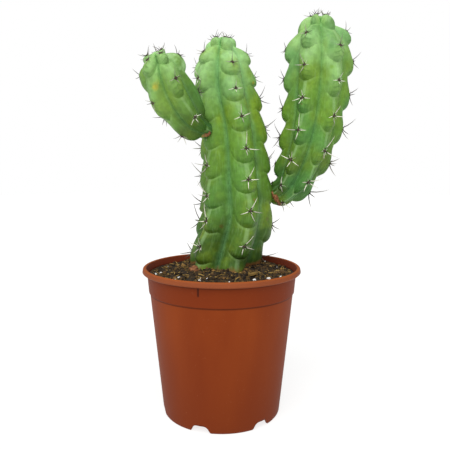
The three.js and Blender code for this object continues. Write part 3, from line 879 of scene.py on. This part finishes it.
def barkChip():
    low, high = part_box("bark_chip")
    middle = (Vector(low) + Vector(high)) / 2
    bm = bmesh.new()
    bmesh.ops.create_cube(bm, size=1)
    bmesh.ops.subdivide_edges(bm, edges=bm.edges, cuts=11, use_grid_fill=True)
    for vert in bm.verts:
        x, y, z = vert.co
        y *= 1 - chip["taper"] * (2 * abs(x)) ** 2
        z *= 1 - chip["round"] * (2 * abs(y)) ** 2
        grain = noise.noise(Vector((x * 2, y * 9, z * 4)))
        x += chip["raggedEnds"] * noise.noise(Vector((y * 7, z * 5, 3)))
        height = z * chip["thickness"] + chip["curl"] * math.sin(4.5 * x) + chip["relief"] * grain
        vert.co = Vector((x * chip["length"], y * chip["width"], height)) * mm
    place = Matrix.Translation(middle) @ Matrix.Rotation(math.radians(chip["turn"]), 4, "Z")
    bmesh.ops.transform(bm, matrix=place, verts=bm.verts)
    bmesh.ops.recalc_face_normals(bm, faces=bm.faces)
    return bm


# the stem that it is on, the share of its length, mm off its centre line, and radii across and along the stem
corks = {
    "rightArmCork": ("rightArm", 0.03, (0.8, -3.5, -0.5), 10, 3.4),
    "leftArmCork": ("leftArm", 0.03, (-1, -6, -0.5), 5, 4.2),
    "footCork": ("mainStem", 0.12, (-30, -27, 0.5), 5.5, 6),
}
corkRoughness = ((0.22, 2.1), (0.08, 7))  # how deep, and how many to a radius


def corkPatch(form, share, offset, radius, thickness):
    middle, heading = form.pathAt(share)
    centre = middle + Vector(offset)
    bm = bmesh.new()
    bmesh.ops.create_icosphere(bm, subdivisions=4, radius=1)
    turn = heading.to_track_quat("Z", "Y").to_matrix().to_4x4()
    for vert in bm.verts:
        rough = 1 + sum(depth * noise.noise(vert.co * grain + centre) for depth, grain in corkRoughness)
        vert.co = Vector((vert.co.x * radius, vert.co.y * radius, vert.co.z * thickness)) * (rough * mm)
    bmesh.ops.transform(bm, matrix=Matrix.Translation(centre * mm) @ turn, verts=bm.verts)
    return bm


def fadeBy(tree, full, edges, interpolation):  # an edge: what it follows, its start and its full end
    for value, start, end in edges:
        sizes = {"Value": value, "From Min": start, "From Max": end, "To Max": full}
        full = addNode(tree, "MapRange", sizes, interpolation_type=interpolation)
    return full


def paintLayers(tree, colour, layers, interpolation="LINEAR"):  # a layer: its colour, its strength, its edges
    for tint, strength, *edges in layers:
        cover = fadeBy(tree, strength, edges, interpolation)
        colour = addNode(tree, "Mix", {0: cover, 6: colour, 7: linearColour(tint)}, output=2, data_type="RGBA")
    return colour


skinLook = {
    # young, grown and old run from the tip down: partly the skin's ageing and partly painted top light, lighter
    # at the top and darker lower down
    "young": "#AFE094",
    "grown": "#659031",
    "old": "#355418",
    "yellow": "#86A22C",
    "cool": "#4A8A48",
    "groove": "#78AE74",
    # painted shade in the floor of each groove
    "grooveFloorShade": "#3F7440",
    "crest": "#A9CF92",
    # painted shade in the crease under each bulge, also drawn along the nested arcs
    "creaseShade": "#2F5E1C",
    # painted highlight on the lip just below each crease
    "lip": "#9AC670",
    "cork": "#96683C",
    "corkEdge": (177, 172),  # mm above the ground, where the corky foot starts and where it is full
    "relief": 0.3,  # mm
    "gloss": {"IOR": 1.45, "Specular IOR Level": 0.25},
}

# ages: where, as shares of the length from the tip, it starts and ends to be young and starts and ends to grow
# old;
# these colours are also painted top light, lighter at the tip and darker lower down. The others say how
# strongly each stem shows a mark
skinMarks = {
    "mainStem": {
        "ages": (0.0, 0.42, 0.42, 0.9), "creaseShade": 0.22, "arcs": 0.12, "strip": 0.3, "groove": 0.45, "cool": 0.25,
        "yellow": 0.6,
    },
    "rightArm": {
        "ages": (0.0, 0.48, 0.5, 0.92), "creaseShade": 0.4, "arcs": 0.3, "strip": 0.3, "groove": 0.25, "cool": 0.55,
        "yellow": 0.35,
    },
    "leftArm": {
        "ages": (-0.5, 0.9, 0.55, 0.95), "creaseShade": 0.4, "arcs": 0.3, "strip": 0.2, "groove": 0.25, "cool": 0.35,
        "yellow": 0.35,
    },
}

# where, in bulges from the tip and ribs round the stem, how wide in mm, and the colour; besides blemishes, some
# are painted shade and painted light
blemishesAndPaintedLight = {
    "mainStem": [
        (2.2, 0.3, 5, "#93A84A"), (2.85, 0.8, 5, "#A5A03C"), (3.9, 0.85, 5, "#9AA444"),
        (4.35, 4.07, 6, "#A0703C"), (6.22, 0.12, 4, "#7C6A34"), (7.72, 4.34, 7, "#54511A"),
        (7.45, 0.72, 6, "#5E6A30"), (9.2, 4.06, 9, "#8C7040"), (9.1, 0.7, 10, "#7E6236"),
        # painted shade: a dark band down the flank between ribs 0 and 1, which faces away from the light
        (5.5, 0.42, 20, "#416326"), (6.6, 0.42, 23, "#3C5D23"), (7.7, 0.42, 24, "#385820"),
        (8.8, 0.42, 24, "#36551E"),
    ],
    "rightArm": [
        (2.2, 5.8, 6, "#74A03A"), (3.68, 5.0, 2, "#6B6230"), (4.65, 0.05, 6, "#6F7A38"),
        (7.1, 5.1, 7, "#4E5E2E"),
    ],
    "leftArm": [
        # the two pale patches at 0.92 round the stem are painted light on the arm's upper right flank
        (1.3, 4.27, 9, "#B3AC3C"), (3.05, 4.28, 5, "#A07A48"), (1.1, 0.92, 22, "#A8D08E"),
        (1.8, 0.92, 24, "#A2CC8A"), (2.4, 4.1, 18, "#5A7436"),
    ],
}
patchFray = {"mottle": 0.9, "from": 0.1, "to": -0.35, "strength": 0.8}  # shares of a patch's width

# size in mm, detail, and a shift that keeps two noises from looking alike
skinNoises = {
    "patches": (26, 3, (0, 0, 0)),
    "mottle": (5, 5, (0, 0, 0)),
    "coolPatches": (38, 2, (0.7, 0.2, 0.4)),
}

# each step: its name, what it does, and the numbers or earlier steps that it takes
skinSteps = [
    ("twiceAround", "MULTIPLY", "around", 2),
    ("offCrest", "PINGPONG", "twiceAround", 1),  # 0 on the crest of a rib, 1 in the groove
    ("wavy", "MULTIPLY_ADD", "mottle", 0.05, "down"),
    ("later", "SUBTRACT", "wavy", 0.025),
    ("share", "FRACT", "later"),  # from the crease above a bulge (0) to the one below it (1)
    ("fromTip", "DIVIDE", "down", "bulgesPerRib"),
    ("middling", "SUBTRACT", "patches", 0.5),
    ("age", "MULTIPLY_ADD", "middling", 0.25, "fromTip"),
    ("arching", "MULTIPLY", "offCrest", -14),
    ("nested", "MULTIPLY_ADD", "share", 42, "arching"),
    ("arcs", "SINE", "nested"),
    ("frayedGroove", "MULTIPLY_ADD", "mottle", 0.12, "offCrest"),
    ("frayedFoot", "MULTIPLY_ADD", "patches", 30 * mm, "height"),
    ("pitted", "MULTIPLY_ADD", "pores", 0.35, "mottle"),
    ("streaked", "MULTIPLY_ADD", "streaks", 0.35, "pitted"),
]

arcZone = (("share", 0.5, 0.62), ("share", 0.98, 0.9), ("offCrest", 0.42, 0.22))
skinLayers = [  # a strength that is a word is one of the stem's own marks
    ("yellow", "yellow", ("patches", 0.42, 0.7)),
    ("cool", "cool", ("coolPatches", 0.42, 0.66)),
    # painted shade in the crease under each bulge, and along the nested arcs below the areoles
    ("creaseShade", "creaseShade", ("share", 0.6, 0.97), ("share", 1, 0.985), ("offCrest", 0.55, 0.2)),
    ("creaseShade", "arcs", ("arcs", 0.2, 1), *arcZone),
    # painted highlight on the lip just below each crease
    ("lip", 0.3, ("share", 0.1, 0.03), ("offCrest", 0.8, 0.3)),
    ("crest", "strip", ("offCrest", 0.15, 0.05), ("share", 0.48, 0.3)),
    ("groove", "groove", ("frayedGroove", 0.78, 1.06)),
    # painted shade in the floor of each groove
    ("grooveFloorShade", 0.4, ("offCrest", 0.97, 1)),
    ("crest", 0.14, ("streaks", 0.48, 0.75)),
]


def livingSkin(stemName):
    # waxy cactus epidermis, grown: satin, pale at the tips and darker lower down, partly from ageing and partly
    # as painted top light, with a soft blue-green band along each groove and painted shade in its floor, nested
    # arcs and painted shade in the crease under the areoles, a painted highlight on the lip below each crease,
    # a few corky scars and other marks, and patches of painted shade and painted light on some flanks
    material, tree, shader = newMaterial("waxySkin" + stemName[0].upper() + stemName[1:])
    form, marks = forms[stemName], skinMarks[stemName]
    coords = addNode(tree, "TexCoord", output="Object")
    onRibs = addNode(tree, "UVMap", uv_map="ribs")
    around, down, _ = addNode(tree, "SeparateXYZ", {0: onRibs}, output=None)
    made = {"around": around, "down": down, "bulgesPerRib": form.stem["bulgesPerRib"]}
    made["height"] = addNode(tree, "SeparateXYZ", {0: coords}, output=2)
    for name, (size, detail, shift) in skinNoises.items():
        place = addNode(tree, "Mapping", {0: coords, 1: shift})
        made[name] = addNode(tree, "TexNoise", {"Vector": place, "Scale": 1 / (size * mm), "Detail": detail})
    grain = addNode(tree, "Mapping", {0: onRibs, "Scale": (26, 2.2, 1)})  # to a rib and to a bulge
    made["streaks"] = addNode(tree, "TexNoise", {"Vector": grain, "Scale": 1, "Detail": 4})
    made["pores"] = addNode(tree, "TexVoronoi", {"Vector": coords, "Scale": 900})  # 1.1 mm
    for name, operation, *terms in skinSteps:
        inputs = {i: made[term] if isinstance(term, str) else term for i, term in enumerate(terms)}
        made[name] = addNode(tree, "Math", inputs, operation=operation)

    def named(edges):
        return [(made[value], start, end) for value, start, end in edges]

    grownFrom, grownBy, oldFrom, oldBy = marks["ages"]
    layers = [
        # ageing colours that also paint top light: lighter at the tip, darker lower down
        (skinLook["grown"], 1, (made["age"], grownFrom, grownBy)),
        (skinLook["old"], 1, (made["age"], oldFrom, oldBy)),
    ]
    for tint, strength, *edges in skinLayers:
        layers.append((skinLook[tint], marks.get(strength, strength), *named(edges)))
    # blemishes, and patches of painted shade and painted light
    for phase, position, size, tint in blemishesAndPaintedLight[stemName]:
        centre = form.pointAt(phase, position) * mm
        away = addNode(tree, "VectorMath", {0: coords, 1: centre}, output="Value", operation="DISTANCE")
        reach = size * mm
        inputs = {0: made["mottle"], 1: -reach * patchFray["mottle"], 2: away}
        frayed = addNode(tree, "Math", inputs, operation="MULTIPLY_ADD")
        edge = (frayed, reach * patchFray["from"], reach * patchFray["to"])
        layers.append((tint, patchFray["strength"], edge))
    smooth = "SMOOTHSTEP"
    colour = paintLayers(tree, linearColour(skinLook["young"]), layers, smooth)
    sizes = {"Value": made["mottle"], "From Min": 0.3, "From Max": 0.7, "To Min": 0.86, "To Max": 1.12}
    shade = addNode(tree, "MapRange", sizes, interpolation_type=smooth)
    inputs = {0: 1, 6: colour, 7: shade}
    colour = addNode(tree, "Mix", inputs, output=2, data_type="RGBA", blend_type="MULTIPLY")
    corkEdge = (made["frayedFoot"], *[edge * mm for edge in skinLook["corkEdge"]])
    colour = paintLayers(tree, colour, [(skinLook["cork"], 1, corkEdge)], smooth)
    sizes.update({"To Min": 0.4, "To Max": 0.56})
    roughness = addNode(tree, "MapRange", sizes, interpolation_type=smooth)
    rings = fadeBy(tree, made["arcs"], named(arcZone), smooth)
    relief = addNode(tree, "Math", {0: rings, 1: marks["arcs"], 2: made["streaked"]}, operation="MULTIPLY_ADD")
    joinSurface(tree, shader, colour, roughness, relief, skinLook["relief"], skinLook["gloss"])
    return material


spineLook = {"base": "#241A14", "body": "#F1EEDC", "dark": "#4E463E", "tip": "#77634E", "relief": 0.05}


def spineHorn():
    # woody spine: smooth and hard, ivory with a dark foot and tip
    material, tree, shader = newMaterial("woodySpine")
    tone, along, _ = addNode(tree, "SeparateXYZ", {0: addNode(tree, "UVMap", uv_map="spine")}, output=None)
    layers = [
        (spineLook["dark"], 1, (tone, 0, 1)),
        (spineLook["base"], 1, (along, 0.26, 0.14)),
        (spineLook["tip"], 1, (along, 0.85, 1)),
    ]
    colour = paintLayers(tree, linearColour(spineLook["body"]), layers)
    coords = addNode(tree, "TexCoord", output="Object")
    streak = addNode(tree, "TexNoise", {"Vector": coords, "Scale": 1500, "Detail": 2})  # 0.7 mm
    roughness = addNode(tree, "MapRange", {"Value": streak, "To Min": 0.35, "To Max": 0.6})
    joinSurface(tree, shader, colour, roughness, streak, spineLook["relief"])
    return material


# plain grainy materials. grain: how many to a metre, with the size that it gives. share: how much of the tone
# comes from the grain, where each crumb also has its own tone or patches have theirs. relief is in mm
grainyLooks = {
    # short woolly felt: matt, dark with greyer hairs
    "areoleFelt": {
        "grain": 1800,  # 0.6 mm
        "detail": 4,
        "colours": [(0.35, "#1E1610"), (0.75, "#6B5A48")],
        "roughness": (0.85, 1.0),
        "relief": 0.4,
    },
    # corky scar tissue: cracked, orange-brown
    "dryCork": {
        "grain": 420,  # 2.4 mm
        "detail": 6,
        "colours": [(0.3, "#3E2616"), (0.55, "#8F5A34"), (0.8, "#BE9468")],
        "roughness": (0.75, 0.95),
        "relief": 0.6,
    },
    # damp peat and bark: very dark and matt, crumbs from black-brown to tan
    "pottingMix": {
        "grain": 500,  # 2 mm
        "detail": 6,
        "colours": [(0.35, "#0D0905"), (0.6, "#382811"), (0.82, "#75592E")],
        "roughness": (0.8, 1.0),
        "relief": 1.2,
    },
    # loose crumbs and fibres of the same mix, each with its own tone
    "peatCrumbs": {
        "grain": 900,  # 1.1 mm
        "detail": 4,
        "share": 0.35,
        "toneMap": "tone",
        "colours": [(0.15, "#110B06"), (0.5, "#3B2A12"), (0.8, "#6F5326"), (1.0, "#A98947")],
        "roughness": (0.8, 1.0),
        "relief": 0.5,
    },
    # composted bark pieces: dark brown, matt and fibrous
    "compostedBark": {
        "grain": 700,  # 1.4 mm
        "detail": 5,
        "share": 0.6,
        "patches": 60,  # 17 mm, so that the tone changes from piece to piece
        "colours": [(0.6, "#2A1B0E"), (0.8, "#54391C"), (1.0, "#957138")],
        "roughness": (0.8, 1.0),
        "relief": 0.6,
    },
    # expanded perlite: white, rough and finely pitted
    "expandedPerlite": {
        "pattern": "TexVoronoi",
        "grain": 1600,  # 0.6 mm
        "detail": 0,
        "colours": [(0.1, "#E4E0D8"), (0.5, "#FCFBF8")],
        "roughness": (0.8, 0.95),
        "relief": 0.25,
    },
    # dry pine bark: tan, with grain along the chip
    "pineBark": {
        "grain": 1100,  # 0.9 mm
        "detail": 5,
        "stretch": (0.3, 1, 1),
        "colours": [(0.3, "#54401C"), (0.6, "#957436"), (0.8, "#BC9A58")],
        "roughness": (0.75, 0.95),
        "relief": 0.4,
    },
}


def grainyMaterial(name):
    look = grainyLooks[name]
    material, tree, shader = newMaterial(name)
    coords = addNode(tree, "TexCoord", output="Object")
    place = addNode(tree, "Mapping", {0: coords, "Scale": look["stretch"]}) if "stretch" in look else coords
    sizes = {"Vector": place, "Scale": look["grain"], "Detail": look["detail"]}
    grain = varied = addNode(tree, look.get("pattern", "TexNoise"), sizes)
    if "share" in look:
        if "toneMap" in look:
            tone = addNode(tree, "SeparateXYZ", {0: addNode(tree, "UVMap", uv_map=look["toneMap"])})
        else:
            tone = addNode(tree, "TexNoise", {"Vector": coords, "Scale": look["patches"]})
        varied = addNode(tree, "Math", {0: grain, 1: look["share"], 2: tone}, operation="MULTIPLY_ADD")
    colour = addNode(tree, "ValToRGB", {0: varied}, stops=look["colours"])
    low, high = look["roughness"]
    roughness = addNode(tree, "MapRange", {"Value": grain, "To Min": low, "To Max": high})
    joinSurface(tree, shader, colour, roughness, grain, look["relief"])
    return material


potLook = {
    "body": "#7C310C",
    "light": "#893B11",
    "low": "#6E2B0B",  # towards the foot
    "collar": "#752C0C",
    "dust": "#94593A",
    "paleBead": "#9A6648",  # paler and tanner all over the bead
    # painted highlight: a thin light line along the top of the bead
    "beadHighlight": "#A5541F",
    "shadow": "#45190A",  # painted shade in the corners under the bead and under the collar's ledge, and along the mould mark, painted as the shade of a narrow slot
    # inner wall: partly dust from the soil and partly painted shade inside the pot
    "inside": "#6C2A16",
    "markAzimuth": -16.2,
    "markWidth": 2.6,
    "markHeights": (145, 153.4),
    "relief": 0.04,
    "gloss": {"IOR": 1.49, "Specular IOR Level": 0.1},
}


def mouldedPlastic():
    # terracotta-coloured polypropylene, injection moulded: dull sheen, cloudy flow marks, specks of dust, a
    # painted highlight along the top of the bead, and painted shade under the bead, under the collar's ledge,
    # along the mould mark and, mixed with soil dust, on the inside wall
    material, tree, shader = newMaterial("mouldedPolypropylene")
    coords = addNode(tree, "TexCoord", output="Object")
    flow = addNode(tree, "Mapping", {0: coords, "Scale": (1, 1, 0.25)})
    clouds = addNode(tree, "TexNoise", {"Vector": flow, "Scale": 28, "Detail": 4})  # 36 mm
    fine = addNode(tree, "TexNoise", {"Vector": coords, "Scale": 1400, "Detail": 3})  # 0.7 mm
    specks = addNode(tree, "TexNoise", {"Vector": coords, "Scale": 520, "Detail": 2})  # 2 mm
    inMm = addNode(tree, "VectorMath", {0: coords, "Scale": 1 / mm}, operation="SCALE")
    x, y, height = addNode(tree, "SeparateXYZ", {0: inMm}, output=None)
    level = addNode(tree, "CombineXYZ", {0: x, 1: y})
    radius = addNode(tree, "VectorMath", {0: level}, output="Value", operation="LENGTH")

    rim, top, bead = pot["rimRadius"], pot["height"], pot["height"] - pot["beadHeight"]
    collar, ledge = pot["collarBottomHeight"], pot["collarBottomHeight"] - pot["ledge"]
    collarTop, (markLow, markHigh) = pot["collarTopRadius"], potLook["markHeights"]
    markX, quarter = collarTop * math.sin(math.radians(potLook["markAzimuth"])), potLook["markWidth"] / 4
    withinWall = fadeBy(tree, 1, [(radius, collarTop - 1, collarTop - 1.3)], "LINEAR")
    aboveCollar = fadeBy(tree, 1, [(height, bead, bead + 0.3)], "LINEAR")
    within = addNode(tree, "Math", {0: withinWall, 1: aboveCollar}, operation="MAXIMUM")
    layers = [
        ("light", 1, (clouds, 0.3, 0.7)),
        ("low", 0.8, (height, 110, 0)),
        ("collar", 0.7, (height, collar - 0.6, collar), (height, bead + 0.6, bead)),
        ("dust", 0.35, (specks, 0.68, 0.76)),
        ("paleBead", 0.3, (height, bead, bead + 1)),
        # painted highlight: a thin light line along the top of the bead
        ("beadHighlight", 0.7, (height, top - 1.6, top - 0.4)),
        # painted shade under the collar's ledge and under the bead
        ("shadow", 0.65, (height, ledge - 1.4, ledge - 0.9), (height, ledge + 0.8, ledge + 0.3)),
        ("shadow", 0.7, (height, bead - 1.5, bead - 1), (height, bead + 0.7, bead + 0.2)),
        # inner wall: partly dust from the soil and partly painted shade inside the pot
        ("inside", 0.9, (radius, rim - 3.8, rim - 4.4), (height, 140, 145), (within, 0, 1)),
        # the mould mark, painted as the shade of a narrow slot
        ("shadow", 0.95, (x, markX - 2 * quarter, markX - quarter), (x, markX + 2 * quarter, markX + quarter),
         (height, markLow - 1.2, markLow), (height, markHigh + 1.2, markHigh), (y, 0, -1)),
    ]
    layers = [(potLook[tint], *rest) for tint, *rest in layers]
    colour = paintLayers(tree, linearColour(potLook["body"]), layers)
    roughness = addNode(tree, "MapRange", {"Value": clouds, "To Min": 0.5, "To Max": 0.64})
    joinSurface(tree, shader, colour, roughness, fine, potLook["relief"], potLook["gloss"])
    return material


forms = {"mainStem": StemForm(mainStem), "rightArm": StemForm(rightArm), "leftArm": StemForm(leftArm)}
horn, felt, cork = spineHorn(), grainyMaterial("areoleFelt"), grainyMaterial("dryCork")
nodeNames = {"mainStem": "main_stem", "rightArm": "right_arm", "leftArm": "left_arm"}
spineMesh = spineTemplate()
for name, form in forms.items():
    body = makePiece(name, stemBody(form), livingSkin(name))
    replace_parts(body, nodeNames[name])
    others = [other for other in forms.values() if other is not form]
    makePiece(name + "Spines", growSpines(form, others, spineMesh), horn)
    makePiece(name + "Areoles", growAreoles(form), felt)
    print("grown:", name, len(body.data.polygons), "faces")
for name, (stemName, *place) in corks.items():
    makePiece(name, corkPatch(forms[stemName], *place), cork)

potPiece = makePiece("nurseryPot", potBody(), mouldedPlastic())
cutWith(potPiece, meshFrom("cutters", potCutters()))
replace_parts(potPiece, "pot")
print("pot made:", len(potPiece.data.polygons), "faces")

soilPiece = makePiece("soilBody", soilBody(), grainyMaterial("pottingMix"))
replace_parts(soilPiece, "soil")
makePiece("soilCrumbs", scatterCrumbs(), grainyMaterial("peatCrumbs"), smooth=False)
makePiece("coarseBark", scatterCoarse(), grainyMaterial("compostedBark"))
makePiece("perlite", scatterPerlite(), grainyMaterial("expandedPerlite"))
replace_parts(makePiece("barkChip", barkChip(), grainyMaterial("pineBark")), "bark_chip")
print("soil filled")

studio = {
    "floorColours": [(0.3, "#858583"), (0.7, "#8A8A88")],
    "white": "#FFFFFF",
    "floorRadius": 4,
    "skyStrength": 0.42,  # light from all round
    "floorGlow": 0.8,  # makes up for what the floor soaks up, so that it runs into the backdrop
    "backdropStrength": 1.0,  # what the camera sees of it
    "keyStrength": 2.45,
    "keyDirection": (12, 52),  # degrees to the left of the camera, and up
    "keySoftness": 50,  # degrees across, as from a large soft box
}


def addStudio():
    bm = bmesh.new()
    bmesh.ops.create_circle(bm, cap_ends=True, segments=96, radius=studio["floorRadius"])
    mesh = meshFrom("floor", bm)
    material, tree, shader = newMaterial("paintedFloor")
    grain = addNode(tree, "TexNoise", {"Scale": 30})
    setInputs(tree, shader, {
        "Base Color": addNode(tree, "ValToRGB", {0: grain}, stops=studio["floorColours"]),
        "Roughness": 0.9,
        "Emission Color": linearColour(studio["white"]),
        "Emission Strength": studio["floorGlow"],
    })
    mesh.materials.append(material)
    addObject("floor", mesh)
    world = bpy.data.worlds.new("studio")
    bpy.context.scene.world = world
    world.use_nodes = True
    tree = world.node_tree
    seen = addNode(tree, "LightPath", output="Is Camera Ray")
    sizes = {"Value": seen, "To Min": studio["skyStrength"], "To Max": studio["backdropStrength"]}
    sky = {"Strength": addNode(tree, "MapRange", sizes), "Color": linearColour(studio["white"])}
    setInputs(tree, tree.nodes["Background"], sky)
    lamp = bpy.data.lights.new("key", "SUN")
    lamp.energy, lamp.angle = studio["keyStrength"], math.radians(studio["keySoftness"])
    aside, up = [math.radians(angle) for angle in studio["keyDirection"]]
    towards = Vector((-math.sin(aside) * math.cos(up), -math.cos(aside) * math.cos(up), math.sin(up)))
    addObject("key", lamp).rotation_euler = towards.to_track_quat("Z", "Y").to_euler()
    bpy.context.scene.view_settings.view_transform = "Standard"


addStudio()
print("scene ready")
